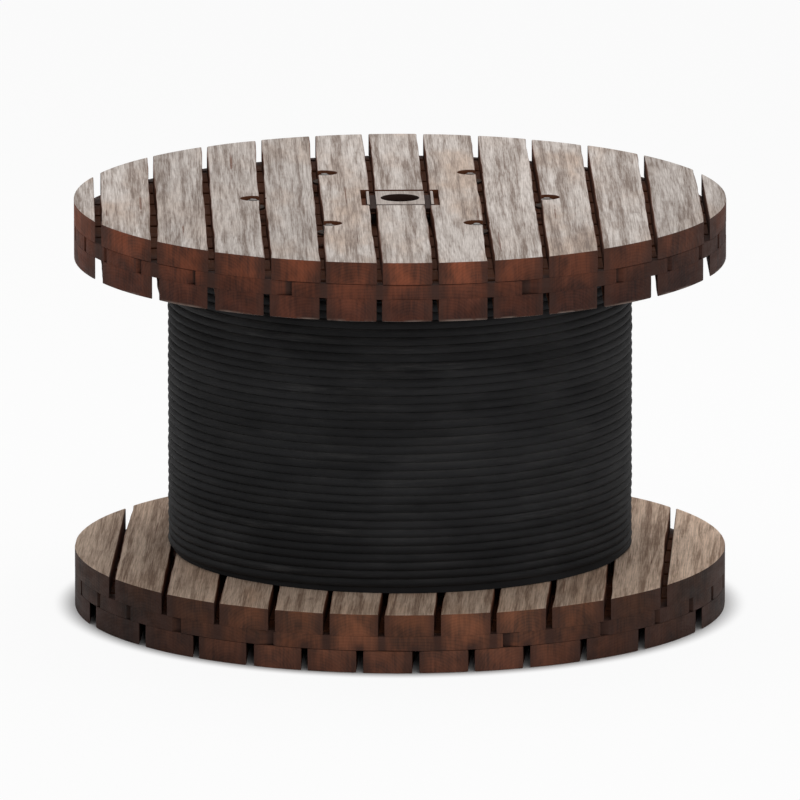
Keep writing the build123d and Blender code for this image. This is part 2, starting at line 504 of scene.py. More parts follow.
def stave_groove(end, beyond, plates):
    """The ring cut for the staves, from their ends to a height beyond the layer: (points, faces)."""
    lower_end, upper_end = (corner.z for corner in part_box("barrel_staves"))
    bottom, top = (lower_end, beyond) if end == "lower" else (beyond, upper_end + plates.groove_clearance)
    outside = barrel_radius(plates) + plates.groove_clearance
    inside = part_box("barrel_staves")[1].x - plates.stave_thickness - plates.groove_clearance
    points, quads = ring([inside, outside], [0, 0], bottom, top, full_circle(steps=96))
    return points, quads.tolist()


def centre_plate_half(end, turn, plates):
    """Half the side of a centre plate: its box, less what the turn of a square with round corners adds."""
    low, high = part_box(f"{end}_centre_plate")
    wider = math.cos(turn) + abs(math.sin(turn))
    return ((high.x - low.x) / 2 + plates.corner * (wider - 1)) / wider


def outer_face_cuts(end, turn, plates, steel):
    """The round sinks of the washers, with worn mouths, and the square recess of the centre plate."""
    outer, inner = sides(end)
    inward = inner - outer
    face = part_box(f"{end}_flange_outer_boards")[outer].z
    washer_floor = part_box(f"{end}_washers")[inner].z
    plate_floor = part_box(f"{end}_centre_plate")[inner].z
    outside = face - inward * CUTTER_REACH
    worn = 0.0015
    radii = [steel.sink_radius + worn + CUTTER_REACH, steel.sink_radius, steel.sink_radius]
    heights = [outside, face + inward * worn, washer_floor][::inward]
    sink = [circle(radius, steps=48) for radius in radii][::inward]
    cuts = [prism([outline + rod for outline in sink], heights) for rod in ROD_PLACES]
    angles = square_angles()
    recess_corner = 0.001
    reach = square_radius(centre_plate_half(end, turn, plates) + plates.joint, recess_corner, angles)
    outline = reach[:, None] * np.column_stack([np.cos(angles + turn), np.sin(angles + turn)])
    cuts.append(prism([outline] * 2, [outside, plate_floor][::inward]))
    return cuts


def layer_cuts(end, layer, turn, plates, steel):
    """The solids cut out of one layer, in passes whose solids don't overlap one another."""
    low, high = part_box(f"{end}_flange_{layer}_boards")
    heights = [low.z - CUTTER_REACH, high.z + CUTTER_REACH]
    hole = circle(ROD_RADIUS + steel.hole_clearance, steps=32)
    through = [prism([circle(BORE_RADIUS, steps=72)] * 2, heights)]
    through += [prism([hole + rod] * 2, heights) for rod in ROD_PLACES]
    if layer == "cross":
        return [through]
    if layer == "inner":
        return [[stave_groove(end, heights[sides(end)[1]], plates)], through]
    return [outer_face_cuts(end, turn, plates, steel), through]


def centre_plate(end, turn, plates):
    """A square plate with a round bore, its section carried round the axis.

    At each angle the section runs over the top from the bore to the square's outline, round the worn edges,
    and back underneath.
    """
    bottom, top = (corner.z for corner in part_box(f"{end}_centre_plate"))
    angles = square_angles()
    outline = square_radius(centre_plate_half(end, turn, plates), plates.corner, angles)
    worn_down, worn_in = quarter_round(plates.edge_radius)
    bore = [BORE_RADIUS + inward for inward in worn_in]
    rim = [outline - inward for inward in worn_in[::-1]]
    face = [bore[-1] + (rim[0] - bore[-1]) * share for share in (0.2, 0.4, 0.6, 0.8)]
    drops = [*worn_down, *[0.0] * len(face), *worn_down[::-1]]
    points, quads = ring(bore + face + rim, drops, bottom, top, angles)
    return turned_about_z(points, turn), quads


def plate_grooves(end, turn, plates, boards):
    """The grooves of a centre plate, which carry the joints beside the middle board across it."""
    low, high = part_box(f"{end}_centre_plate")
    outer, inner = sides(end)
    inward = inner - outer
    face = (low, high)[outer].z
    heights = [face - inward * CUTTER_REACH, face + inward * plates.groove_depth][::inward]
    half_width, half_length = boards.joint / 2, high.x + CUTTER_REACH
    corners = np.array([(-1, -1), (1, -1), (1, 1), (-1, 1)]) * [half_width, half_length]
    middle = (boards.board_width + boards.joint) / 2
    grooves = [prism([corners + [x, 0]] * 2, heights) for x in (-middle, middle)]
    return [(turned_about_z(points, turn), faces) for points, faces in grooves]


def washer(rod, bottom, top, hole_radius, radius):
    """A flat ring with worn edges, its section carried round the rod."""
    worn = 0.0005
    radii = [hole_radius, hole_radius + worn, radius - worn, radius]
    points, quads = ring(radii, [worn, 0, 0, worn], bottom, top, full_circle(steps=40))
    return points + [*rod, 0], quads


def nut(rod, bottom, top, width, turn):
    """A hexagon nut, its section carried round the rod.

    Its outline reaches half its width over the cosine of the angle from the nearest flat's middle, and a cone
    of 30 degrees takes the corners down at both faces.
    """
    cone_angle = math.radians(30)
    flat_share = 0.96
    thread_gap = 0.00005
    funnel = 0.0008
    angles = full_circle(steps=72)
    hexagon = width / 2 / np.cos((angles + math.pi / 6) % (math.pi / 3) - math.pi / 6)
    shoulder = flat_share * width / 2
    cone = (hexagon - shoulder) * math.tan(cone_angle)
    bore = ROD_RADIUS + thread_gap
    radii = [bore, bore + funnel, shoulder, hexagon]
    points, quads = ring(radii, [funnel, 0, 0, cone], bottom, top, angles)
    return turned_about_z(points, turn) + [*rod, 0], quads


def tie_rod(rod, bottom, top, steel):
    """A round bar with both ends threaded and chamfered.

    In the thread the radius falls by a rounded tooth, whose phase is the turn round the bar less the height
    in pitches. The end faces close in two steps to the axis.
    """
    turns = full_circle(steps=24)
    rows_per_pitch = 6
    chamfer = 0.0015
    end_rows = np.arange(0, steel.threaded, steel.thread_pitch / rows_per_pitch)
    z = np.concatenate([bottom + end_rows, (top - end_rows)[::-1]])[:, None]
    from_end = np.minimum(z - bottom, top - z)
    tooth = 0.5 - 0.5 * np.cos(turns - 2 * math.pi * z / steel.thread_pitch)
    fade = np.clip((steel.threaded - from_end) / steel.thread_pitch, 0, 1)
    thread = steel.thread_depth * fade * tooth**1.5
    radius = np.minimum(ROD_RADIUS - thread, ROD_RADIUS - chamfer + from_end)
    first, last = radius[:1], radius[-1:]
    radius = np.concatenate([first * 0, first * 0.5, radius, last * 0.5, last * 0])
    z = np.concatenate([[[bottom]] * 2, z, [[top]] * 2]) + 0 * radius
    points = np.stack([rod[0] + radius * np.cos(turns), rod[1] + radius * np.sin(turns), z], axis=-1)
    return points.reshape(-1, 3), quads_of_grid(len(z), len(turns))[:, ::-1]


def cable_path(cable, low, high):
    """The middle line of the outermost layer's cable: angle, distance from the axis and height, row by row.

    It rises by one pitch a turn, with a smooth random wander in its height and distance, a mean of nine
    sines. At both ends it dives by one layer while it stays against the flange.
    """
    radius = cable.diameter / 2
    turns_up = round((high.z - low.z) / cable.diameter) - 1
    rows_per_turn = 120
    dive = 0.12
    turn = np.linspace(-dive, turns_up + dive, rows_per_turn * turns_up)
    rng = np.random.default_rng(18)
    waves = 2 * math.pi * rng.uniform(0.15, 2.6, (2, 1, 9))
    phases = rng.uniform(0, 2 * math.pi, (2, 1, 9))
    wander_in, wander_up = cable.wander * np.sin(waves * turn[:, None] + phases).mean(-1)
    beyond = np.clip(np.maximum(-turn, turn - turns_up) / dive, 0, 1)
    sunk = cable.diameter * beyond**2 * (3 - 2 * beyond) + np.maximum(cable.wander + 2 * wander_in, 0)
    from_flange = np.clip(np.minimum(turn, turns_up - turn), 0, 1)
    rise = np.clip(turn / turns_up, 0, 1) * (high.z - low.z - cable.diameter)
    height = low.z + radius + rise + wander_up * from_flange
    return 2 * math.pi * turn[:, None], (high.x - radius - sunk)[:, None], height[:, None]


def wound_cable(cable, plates):
    """The outermost layer as one helix of cable, and the layers under it as a closed ring.

    A round section is carried along the cable's path, and both its ends close in a point. The UV map holds
    the length along the cable and the length round it, in metres.
    """
    low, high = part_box("cable_winding")
    path_angle, path_distance, path_z = cable_path(cable, low, high)
    around = full_circle(steps=14)
    section = cable.diameter / 2 + cable.swell
    reach = np.minimum(path_distance + section * np.cos(around), high.x)
    z = np.clip(path_z + section * np.sin(around), low.z, high.z)
    turns = np.stack([reach * np.cos(path_angle), reach * np.sin(path_angle), z], axis=-1)
    tips = turns[[0, -1]].mean(1, keepdims=True) + 0 * turns[[0, -1]]
    turns = np.concatenate([tips[:1], turns, tips[1:]])
    quads = quads_of_grid(len(turns), len(around))
    outermost = high.x - cable.diameter / 2
    travelled = outermost * np.concatenate([path_angle[:1], path_angle, path_angle[-1:]])[:, 0]
    row, column = np.divmod(np.arange(len(quads)), len(around))
    u = travelled[np.stack([row, row + 1, row + 1, row], axis=-1)]
    v = np.stack([column, column, column + 1, column + 1], axis=-1) * section * around[1]

    skin_inset = 0.002
    radii = [barrel_radius(plates) + cable.barrel_gap, outermost - skin_inset]
    core = ring(radii, [0, 0], low.z, high.z, full_circle(steps=144))
    points, quads = joined([(turns.reshape(-1, 3), quads), core])
    uv = np.concatenate([np.stack([u, v], axis=-1).reshape(-1, 2), np.zeros((core[1].size, 2))])
    return points, quads, uv


class Nodes:
    """Writes the nodes of a material or world: each method adds nodes and gives back an output socket."""

    def __init__(self, owner):
        self.owner = owner
        owner.use_nodes = True
        self.tree = owner.node_tree
        self.shader = self.tree.nodes.get("Principled BSDF")

    def fill(self, socket, value):
        """Links a socket to an output, or sets its own value."""
        if isinstance(value, bpy.types.NodeSocket):
            self.tree.links.new(value, socket)
        elif socket.type == "RGBA":
            socket.default_value = (*value[:3], 1.0)
        else:
            socket.default_value = value

    def node(self, kind, inputs, **settings):
        """A node of that kind, with its settings made and its inputs filled in."""
        made = self.tree.nodes.new(kind)
        for name, value in settings.items():
            setattr(made, name, value)
        for key, value in inputs.items():
            self.fill(made.inputs[key], value)
        return made

    def math(self, operation, a, b=0.0, c=0.0, clamp=False):
        """A sum on one, two or three values."""
        inputs = {0: a, 1: b, 2: c}
        return self.node("ShaderNodeMath", inputs, operation=operation, use_clamp=clamp).outputs[0]

    def times(self, a, b):
        """The product of two values."""
        return self.math("MULTIPLY", a, b)

    def less(self, a, b):
        """The first value less the second."""
        return self.math("SUBTRACT", a, b)

    def size(self, value):
        """A value without its sign."""
        return self.math("ABSOLUTE", value)

    def scaled(self, value, factor, more=0.0, clamp=False):
        """A value times a factor, and more added."""
        return self.math("MULTIPLY_ADD", value, factor, more, clamp)

    def position(self):
        """The point on the piece, in metres."""
        return self.node("ShaderNodeTexCoord", {}).outputs["Object"]

    def upward(self):
        """How far the surface faces up: 1 on top, 0 on a wall, -1 underneath."""
        return self.parts(self.node("ShaderNodeNewGeometry", {}).outputs["Normal"])[2]

    def turned(self, vector, turn):
        """A vector turned about Z."""
        return self.node("ShaderNodeMapping", {"Vector": vector, "Rotation": (0, 0, turn)}).outputs[0]

    def stretched(self, vector, scale):
        """A vector scaled by three factors."""
        return self.node("ShaderNodeMapping", {"Vector": vector, "Scale": scale}).outputs[0]

    def parts(self, vector):
        """A vector's three parts."""
        return self.node("ShaderNodeSeparateXYZ", {0: vector}).outputs

    def vector(self, x, y, z):
        """A vector of three parts."""
        return self.node("ShaderNodeCombineXYZ", {0: x, 1: y, 2: z}).outputs[0]

    def added(self, a, b):
        """The sum of two vectors."""
        return self.node("ShaderNodeVectorMath", {0: a, 1: b}, operation="ADD").outputs[0]

    def distance(self, a, b):
        """The length of a vector of two parts."""
        return self.math("SQRT", self.math("ADD", self.times(a, a), self.times(b, b)))

    def noise(self, vector, scale, detail=3.0, roughness=0.55):
        """Soft noise, mostly from 0.3 to 0.7, its scale one factor or one for each direction."""
        if hasattr(scale, "__len__"):
            vector, scale = self.stretched(vector, scale), 1.0
        inputs = {"Vector": vector, "Scale": scale, "Detail": detail, "Roughness": roughness}
        return self.node("ShaderNodeTexNoise", inputs).outputs["Fac"]

    def ramp(self, value, low, high, to_low=0.0, to_high=1.0):
        """A value's place between two limits, smoothly, carried over to two others."""
        inputs = {"Value": value, "From Min": low, "From Max": high, "To Min": to_low, "To Max": to_high}
        return self.node("ShaderNodeMapRange", inputs, interpolation_type="SMOOTHSTEP").outputs[0]

    def summed(self, start, *patterns):
        """A start plus patterns, each ramped between two limits and then weighed, up to 1 at most."""
        for pattern, low, high, weight in patterns:
            start = self.scaled(self.ramp(pattern, low, high), weight, start, clamp=True)
        return start

    def mixed(self, share, a, b, blend="MIX"):
        """Two colours mixed by a share."""
        inputs = {0: share, 6: a, 7: b}
        return self.node("ShaderNodeMix", inputs, data_type="RGBA", blend_type=blend).outputs[2]

    def tinted(self, colour, tint):
        """A colour multiplied by another."""
        return self.mixed(1.0, colour, tint, "MULTIPLY")

    def toned(self, colour, tone):
        """A colour made darker or lighter by a factor."""
        return self.tinted(colour, self.vector(tone, tone, tone))

    def seen_directly(self):
        """1 for what the camera sees, also in a mirror or through glass, and 0 for light on the drum."""
        rays = self.node("ShaderNodeLightPath", {}).outputs
        mirrored = self.math("MAXIMUM", rays["Is Glossy Ray"], rays["Is Transmission Ray"])
        return self.math("MAXIMUM", rays["Is Camera Ray"], mirrored)

    def finished(self, colour, roughness, height, depth, specular, metallic=0.0):
        """The material, with colour, roughness and height linked to its shader."""
        self.fill(self.shader.inputs["Base Color"], colour)
        self.fill(self.shader.inputs["Roughness"], roughness)
        bump = self.node("ShaderNodeBump", {"Height": height, "Distance": depth})
        self.fill(self.shader.inputs["Normal"], bump.outputs[0])
        self.shader.inputs["Specular IOR Level"].default_value = specular
        self.shader.inputs["Metallic"].default_value = metallic
        return self.owner


class BoardWood(Nodes):
    """Sawn boards: pale weathered faces, red-brown ends at the rim and dark walls in the joints.

    Each board's number across the layer picks its own place in every pattern and its own tone. Only the face
    that shows is pale: the cross layer, which shows inside the joints, is dark there.
    """

    def __init__(self, boards, end, layer, seed):
        super().__init__(bpy.data.materials.new(f"{end} {layer} boards"))
        self.boards, self.end, self.layer = boards, end, layer
        self.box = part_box(f"{end}_flange_{layer}_boards")
        self.half_width = boards.board_width / 2
        self.lay_out(seed)
        self.grow()

    def lay_out(self, seed):
        """Which board a point lies on, its place on that board and the board's own three random numbers."""
        shift = layer_shift(self.end, self.layer, self.boards)
        pitch = self.boards.board_width + self.boards.joint
        numbers = board_edges(self.boards, shift)[2]
        place = self.turned(self.position(), -layer_turn(self.end, self.layer, self.boards))
        self.x, self.y, self.z = self.parts(place)
        number = self.math("FLOOR", self.scaled(self.x, 1 / pitch, 0.5 - shift / pitch))
        number = self.math("MAXIMUM", number, float(numbers[0]))
        number = self.math("MINIMUM", number, float(numbers[-1]))
        drawn = self.node("ShaderNodeTexWhiteNoise", {"Vector": self.vector(number, float(seed), 0.0)})
        random = drawn.outputs["Color"]
        self.own = self.parts(random)
        self.own_place = self.added(place, self.stretched(random, (37.0, 53.0, 29.0)))
        self.own_x, self.own_y, _ = self.parts(self.own_place)
        self.across = self.scaled(number, -pitch, self.less(self.x, shift))
        self.from_middle = self.size(self.across)
        self.depth = self.less(self.z, self.box[0].z)

    def grow(self):
        """The patterns that face, rim and relief share."""
        self.late_wood = self.growth_rings()
        self.fibre = self.along_board(420.0, 9.0, roughness=0.6)
        self.fine_fibre = self.along_board(1300.0, 26.0, 2.0, 0.6)
        self.patch = self.along_board(9.0, 3.0, 4.0)
        self.mottle = self.along_board(85.0, 40.0)
        streak = self.along_board(48.0, 1.3, 4.0)
        band = self.along_board(75.0, 6.0, 2.0)
        self.grain = self.summed(
            self.times(self.late_wood, 0.14),
            (self.fibre, 0.40, 0.62, 0.34),
            (streak, 0.44, 0.62, 0.40),
            (band, 0.46, 0.60, 0.22),
            (self.fine_fibre, 0.42, 0.64, 0.24),
            (self.mottle, 0.45, 0.75, 0.10),
        )
        split = self.ramp(self.along_board(150.0, 1.6, 1.0, 0.3), 0.735, 0.76)
        self.crack = self.times(split, self.ramp(self.patch, 0.50, 0.56))
        self.end_streak = self.noise(self.own_place, (150.0, 150.0, 14.0), 4.0, 0.65)
        self.end_patch = self.noise(self.position(), 15.0)

    def along_board(self, across, along, detail=3.0, roughness=0.55):
        """Noise of a board's own, at one scale across it and down, and at another along it."""
        return self.noise(self.own_place, (across, along, across), detail, roughness)

    def growth_rings(self):
        """Late wood, from 0 to 1: rings at even distances from a heart line that wanders under the board.

        They show as long flames on the faces and as arcs on the ends.
        """
        sway = self.noise(self.vector(self.own[0], self.own_y, 0.0), 1.6, 1.0)
        rise = self.noise(self.vector(7.0, self.own_y, self.own[1]), 1.1, 1.0)
        heart_across = self.scaled(self.math("ADD", sway, self.own[0]), 0.09, -0.09)
        heart_down = self.scaled(self.math("ADD", rise, self.own[2]), 0.055, -0.09)
        away = self.distance(self.less(self.across, heart_across), self.less(self.depth, heart_down))
        ragged = self.noise(self.vector(self.across, self.own_y, self.depth), (60.0, 4.0, 60.0))
        ring_width = 0.0065
        phase = self.scaled(ragged, 2.6, self.times(away, 2 * math.pi / ring_width))
        return self.math("POWER", self.scaled(self.math("SINE", phase), 0.5, 0.5), 2.5)

    def own_toned(self, colour, which, darkest, palest):
        """A colour made darker or lighter by one of the board's own random numbers."""
        return self.toned(colour, self.ramp(self.own[which], 0.0, 1.0, darkest, palest))

    def knots(self):
        """Knots, from 0 to 1: ragged spots amid a few of the cells that the boards are strewn with."""
        place = self.vector(self.times(self.own_x, 9.5), self.times(self.own_y, 5.5), self.own[1])
        inputs = {"Vector": place, "Scale": 1.0, "Randomness": 0.9}
        cells = self.node("ShaderNodeTexVoronoi", inputs).outputs
        picked = self.math("GREATER_THAN", self.parts(cells["Color"])[0], 0.93)
        ragged = self.scaled(self.less(self.mottle, 0.5), 0.12, cells["Distance"])
        return self.times(self.ramp(ragged, 0.12, 0.04), picked)

    def face(self):
        """Pale wood with its grain, warm patches, knots and cracks, with painted shade along the board's edges
        and painted light on the lower flange's inner face.
        """
        boards = self.boards
        face = self.mixed(self.grain, boards.face_light, boards.face_dark)
        warm = self.times(self.ramp(self.patch, 0.42, 0.68), self.ramp(self.own[1], 0.2, 0.9, 0.20, 0.95))
        face = self.mixed(warm, face, self.mixed(self.grain, boards.face_warm, boards.face_dark))
        # Painted light: the lower flange's inner face is made lighter and warmer, and lighter still towards
        # the right, as the light falls on it
        if (self.end, self.layer) == ("lower", "inner"):
            face = self.own_toned(face, 0, 1.06, 1.28)
            light_to_right = self.ramp(self.x, 0.5 * FLANGE_RADIUS, 0.8 * FLANGE_RADIUS, 1.0, 1.3)
            face = self.tinted(self.toned(face, light_to_right), boards.lower_face_light_tint)
        else:
            face = self.own_toned(face, 0, 1.00, 1.18)
        face = self.mixed(self.times(self.knots(), 0.5), face, boards.rim_dark)
        face = self.mixed(self.times(self.crack, 0.75), face, boards.joint_dark)
        # Painted shade: the face darkens towards the board's edges, where they round off into the joints
        edge = self.ramp(self.from_middle, self.half_width - 0.003, self.half_width + 0.001, 0.0, 0.5)
        return self.mixed(edge, face, boards.joint_dark)

    def rim_shade_and_patches(self):
        """The tint of a flange's rim: painted shade that darkens it towards its lower edge and painted light
        that sets each flange's tone, with patches that run on over all its layers.

        The lower flange's rim darkens to both sides, and the upper flange's to the right alone.
        """
        high_tint, low_tint, side_tint = RIM_SHADE_TINTS[self.end]
        boxes = [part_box(f"{self.end}_flange_{layer}_boards") for layer in LAYERS]
        bottom = min(low.z for low, _ in boxes)
        top = max(high.z for _, high in boxes)
        place = self.position()
        x, _, z = self.parts(place)
        # Painted shade: the rim darkens from its upper edge towards its lower edge
        tint = self.mixed(self.ramp(z, bottom, top), low_tint, high_tint)
        across, start = (x, -0.1) if self.end == "upper" else (self.size(x), 0.15)
        aside = self.ramp(across, start * FLANGE_RADIUS, 0.95 * FLANGE_RADIUS)
        tint = self.mixed(aside, tint, self.tinted(tint, side_tint))
        return self.toned(tint, self.ramp(self.noise(place, 8.0), 0.36, 0.64, 0.87, 1.14))

    def joint_shade_and_stain(self, rim):
        """The rim of a cross layer, darkened below the open joints of the layer above it by painted shade that
        carries on the joints' shade, and by stain.

        In the lower flange it is darkened above the outer layer's joints too, the less the higher.
        """
        half_pitch = (self.boards.board_width + self.boards.joint) / 2
        shading_layers = ("outer",) if self.end == "upper" else ("inner", "outer")
        for layer in shading_layers:
            layer_x = self.parts(self.turned(self.position(), -layer_turn(self.end, layer, self.boards)))[0]
            offset = half_pitch - layer_shift(self.end, layer, self.boards)
            from_joint = self.math("PINGPONG", self.scaled(layer_x, 1.0, offset), half_pitch)
            # Painted shade with stain: a dark band along the line of each open joint of that layer
            core = self.ramp(from_joint, 0.011, 0.005, 0.0, 0.4)
            stain = self.scaled(self.ramp(from_joint, 0.028, 0.008), 0.5, core)
            if (self.end, layer) == ("lower", "outer"):
                stain = self.times(stain, self.ramp(self.depth, 0.026, 0.004))
            rim = self.mixed(stain, rim, self.boards.rim_stain_and_shade)
        return rim

    def rim(self):
        """Red-brown ends of the boards, tinted by painted light and shade with patches, worn, and darkened at
        the open joints by painted shade and stain.
        """
        boards = self.boards
        tone = self.summed(
            self.scaled(self.late_wood, 0.11, 0.20),
            (self.end_streak, 0.36, 0.66, 0.26),
            (self.end_patch, 0.36, 0.64, 0.40),
        )
        darkest, palest = (0.82, 0.92) if self.layer == "cross" else (0.89, 1.11)
        rim = self.own_toned(self.mixed(tone, boards.rim_light, boards.rim_dark), 2, darkest, palest)
        rim = self.tinted(rim, self.rim_shade_and_patches())
        if self.layer == "cross":
            return self.joint_shade_and_stain(rim)
        if (self.end, self.layer) == ("upper", "inner"):
            patchy = self.ramp(self.end_patch, 0.45, 0.60, 0.0, 0.8)
            rim = self.mixed(self.times(self.ramp(self.depth, 0.006, 0.001), patchy), rim, boards.rim_worn)
        # Painted shade: the rim darkens towards each open joint, as the joint's shade spreads onto it
        joint_shade_on_rim = self.ramp(self.from_middle, self.half_width - 0.030, self.half_width, 0.0, 0.7)
        return self.mixed(joint_shade_on_rim, rim, boards.rim_stain_and_shade)

    def sawn(self):
        """The material: the joints' walls, over them the rim, and over both the face, where it shows."""
        boards = self.boards
        from_axis = self.distance(self.x, self.y)
        near_rim = self.ramp(from_axis, FLANGE_RADIUS - 0.06, FLANGE_RADIUS - 0.01)
        wall = self.mixed(near_rim, boards.joint_dark, boards.rim_stain_and_shade)
        at_rim = self.ramp(from_axis, FLANGE_RADIUS - 0.009, FLANGE_RADIUS - 0.005)
        seen = self.mixed(at_rim, wall, self.rim())
        face_up = faces_up(self.end, self.layer)
        upright = self.times(self.upward(), 1.0 if face_up else -1.0)
        if self.layer != "cross":
            facing = self.ramp(self.scaled(self.less(self.end_streak, 0.5), 0.5, upright), 0.45, 0.85)
            below_face = self.size(self.less(self.z, self.box[1 if face_up else 0].z))
            seen = self.mixed(self.times(facing, self.ramp(below_face, 0.007, 0.004)), seen, self.face())

        height = self.times(self.late_wood, 0.18)
        height = self.scaled(self.fibre, self.ramp(upright, 0.3, 0.8, 0.25, 0.45), height)
        height = self.scaled(self.fine_fibre, 0.2, height)
        height = self.scaled(self.crack, -1.6, height)
        height = self.scaled(self.end_streak, self.ramp(upright, 0.3, 0.8, 0.8, 0.0), height)
        roughness = self.ramp(self.grain, 0.0, 1.0, 0.72, 0.88)
        return self.finished(seen, roughness, height, depth=0.0008, specular=0.18)


def plain_wood(name, plates, turn, grain_axis, face=None):
    """Plain sawn wood, its grain along Y or Z.

    Where the height of its face is given, all that lies off that height is dark.
    """
    n = Nodes(bpy.data.materials.new(name))
    place = n.turned(n.position(), -turn)
    stretch = np.where([axis == grain_axis for axis in "xyz"], 1.0, 46.0)
    fibre = n.noise(place, (9 * stretch).tolist(), 4.0, 0.6)
    streak = n.noise(place, stretch.tolist(), 4.0)
    patch = n.noise(place, 14.0, 4.0)
    grain = n.summed(0.0, (streak, 0.38, 0.70, 0.32), (fibre, 0.34, 0.66, 0.40), (patch, 0.40, 0.72, 0.28))
    seen = n.mixed(grain, plates.light, plates.dark)
    if face is not None:
        facing = n.ramp(n.scaled(n.less(patch, 0.5), 0.5, n.size(n.upward())), 0.5, 0.9)
        below_face = n.size(n.less(n.parts(place)[2], face))
        seen = n.mixed(n.times(facing, n.ramp(below_face, 0.005, 0.003)), plates.wall, seen)
    roughness = n.ramp(grain, 0.0, 1.0, 0.74, 0.88)
    return n.finished(seen, roughness, fibre, depth=0.0006, specular=0.18)


def cable_sheath(name, cable):
    """Black cable sheath: a dull extruded skin with fine lines along it, scuffs, dust, and painted light in
    its grooves.

    The dust lies where the sheath faces up. In the grooves between turns, where the cosine of the way round
    the cable falls from one, the same grey is painted light that evens out their shade.
    """
    n = Nodes(bpy.data.materials.new(name))
    along = n.node("ShaderNodeUVMap", {}, uv_map="along").outputs[0]
    scuff = n.noise(along, (14.0, 160.0, 1.0), 4.0, 0.6)
    line = n.noise(along, (1.5, 900.0, 1.0), 2.0)
    dusty = n.noise(n.position(), 7.0, 4.0)
    dust_and_groove_light = n.times(n.ramp(dusty, 0.40, 0.75), n.ramp(n.upward(), -0.2, 0.9, 0.0, 0.5))
    dust_and_groove_light = n.summed(dust_and_groove_light, (scuff, 0.55, 0.80, 0.35))
    stretch_rubbed = n.ramp(n.noise(along, (1.1, 0.0, 0.0), 2.0), 0.52, 0.68)
    dust_and_groove_light = n.scaled(n.times(stretch_rubbed, n.ramp(scuff, 0.42, 0.62)), 0.7, dust_and_groove_light)
    # Painted light: the grooves between turns are made lighter, against their shade
    round_it = n.math("COSINE", n.math("DIVIDE", n.parts(along)[1], cable.diameter / 2 + cable.swell))
    groove_light = n.times(n.ramp(round_it, 0.95, 0.3), n.ramp(dusty, 0.38, 0.60, 0.45, 1.0))
    dust_and_groove_light = n.scaled(groove_light, 0.85, dust_and_groove_light, clamp=True)
    seen = n.mixed(dust_and_groove_light, cable.sheath, cable.dust_and_groove_light)
    faded = n.noise(n.position(), (3.5, 3.5, 17.0), 4.0)
    seen = n.toned(seen, n.ramp(faded, 0.36, 0.64, 0.80, 1.26))
    height = n.scaled(line, 0.5, n.times(scuff, 0.5))
    roughness = n.ramp(scuff, 0.3, 0.75, 0.66, 0.80)
    return n.finished(seen, roughness, height, depth=0.0003, specular=0.07)


def dull_steel(name, metal, rust, roughness, specular, metallic=0.0):
    """Dulled metal with brown stains, which are rougher than the metal."""
    n = Nodes(bpy.data.materials.new(name))
    stain = n.ramp(n.noise(n.position(), 55.0, 5.0, 0.65), 0.42, 0.66)
    grime = n.noise(n.position(), 420.0)
    seen = n.mixed(n.times(stain, 0.8), metal, rust)
    roughness = n.scaled(stain, 0.2, n.ramp(grime, 0.3, 0.7, roughness, roughness + 0.14), clamp=True)
    return n.finished(seen, roughness, grime, 0.0002, specular, metallic)


class DRUM_OT_lay_boards(bpy.types.Operator):
    """Lays the three layers of sawn boards of both flanges, bored, drilled and sunk as the frame has them"""

    bl_idname = "drum.lay_boards"
    bl_label = "Lay Flange Boards"

    def execute(self, context):
        scene = context.scene
        boards = scene.drum_boards
        for end in ENDS:
            for layer in LAYERS:
                seed = 3 + 10 * ENDS.index(end) + LAYERS.index(layer)
                piece = new_object(f"{end}_{layer}_boards", *flange_layer(end, layer, boards, seed))
                turn = layer_turn(end, layer, boards)
                for solids in layer_cuts(end, layer, turn, scene.drum_plates, scene.drum_steel):
                    cut_away(piece, solids)
                material = BoardWood(boards, end, layer, seed).sawn()
                finish_piece(piece, material, "flange_board", f"{end}_flange_{layer}_boards")
        return {"FINISHED"}


class DRUM_OT_let_in_plates(bpy.types.Operator):
    """Lets in the centre plates and gives the barrel's staves their wood"""

    bl_idname = "drum.let_in_plates"
    bl_label = "Let In Centre Plates"

    def execute(self, context):
        scene = context.scene
        plates = scene.drum_plates
        for end in ENDS:
            turn = layer_turn(end, "outer", scene.drum_boards)
            piece = new_object(f"{end}_plate", *centre_plate(end, turn, plates))
            cut_away(piece, plate_grooves(end, turn, plates, scene.drum_boards))
            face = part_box(f"{end}_centre_plate")[sides(end)[0]].z
            material = plain_wood(f"{end} plate wood", plates, turn, "y", face)
            finish_piece(piece, material, "centre_plate", f"{end}_centre_plate")
        dress(frame["nodes"]["barrel_staves"], plain_wood("stave wood", plates, 0.0, "z"))
        return {"FINISHED"}


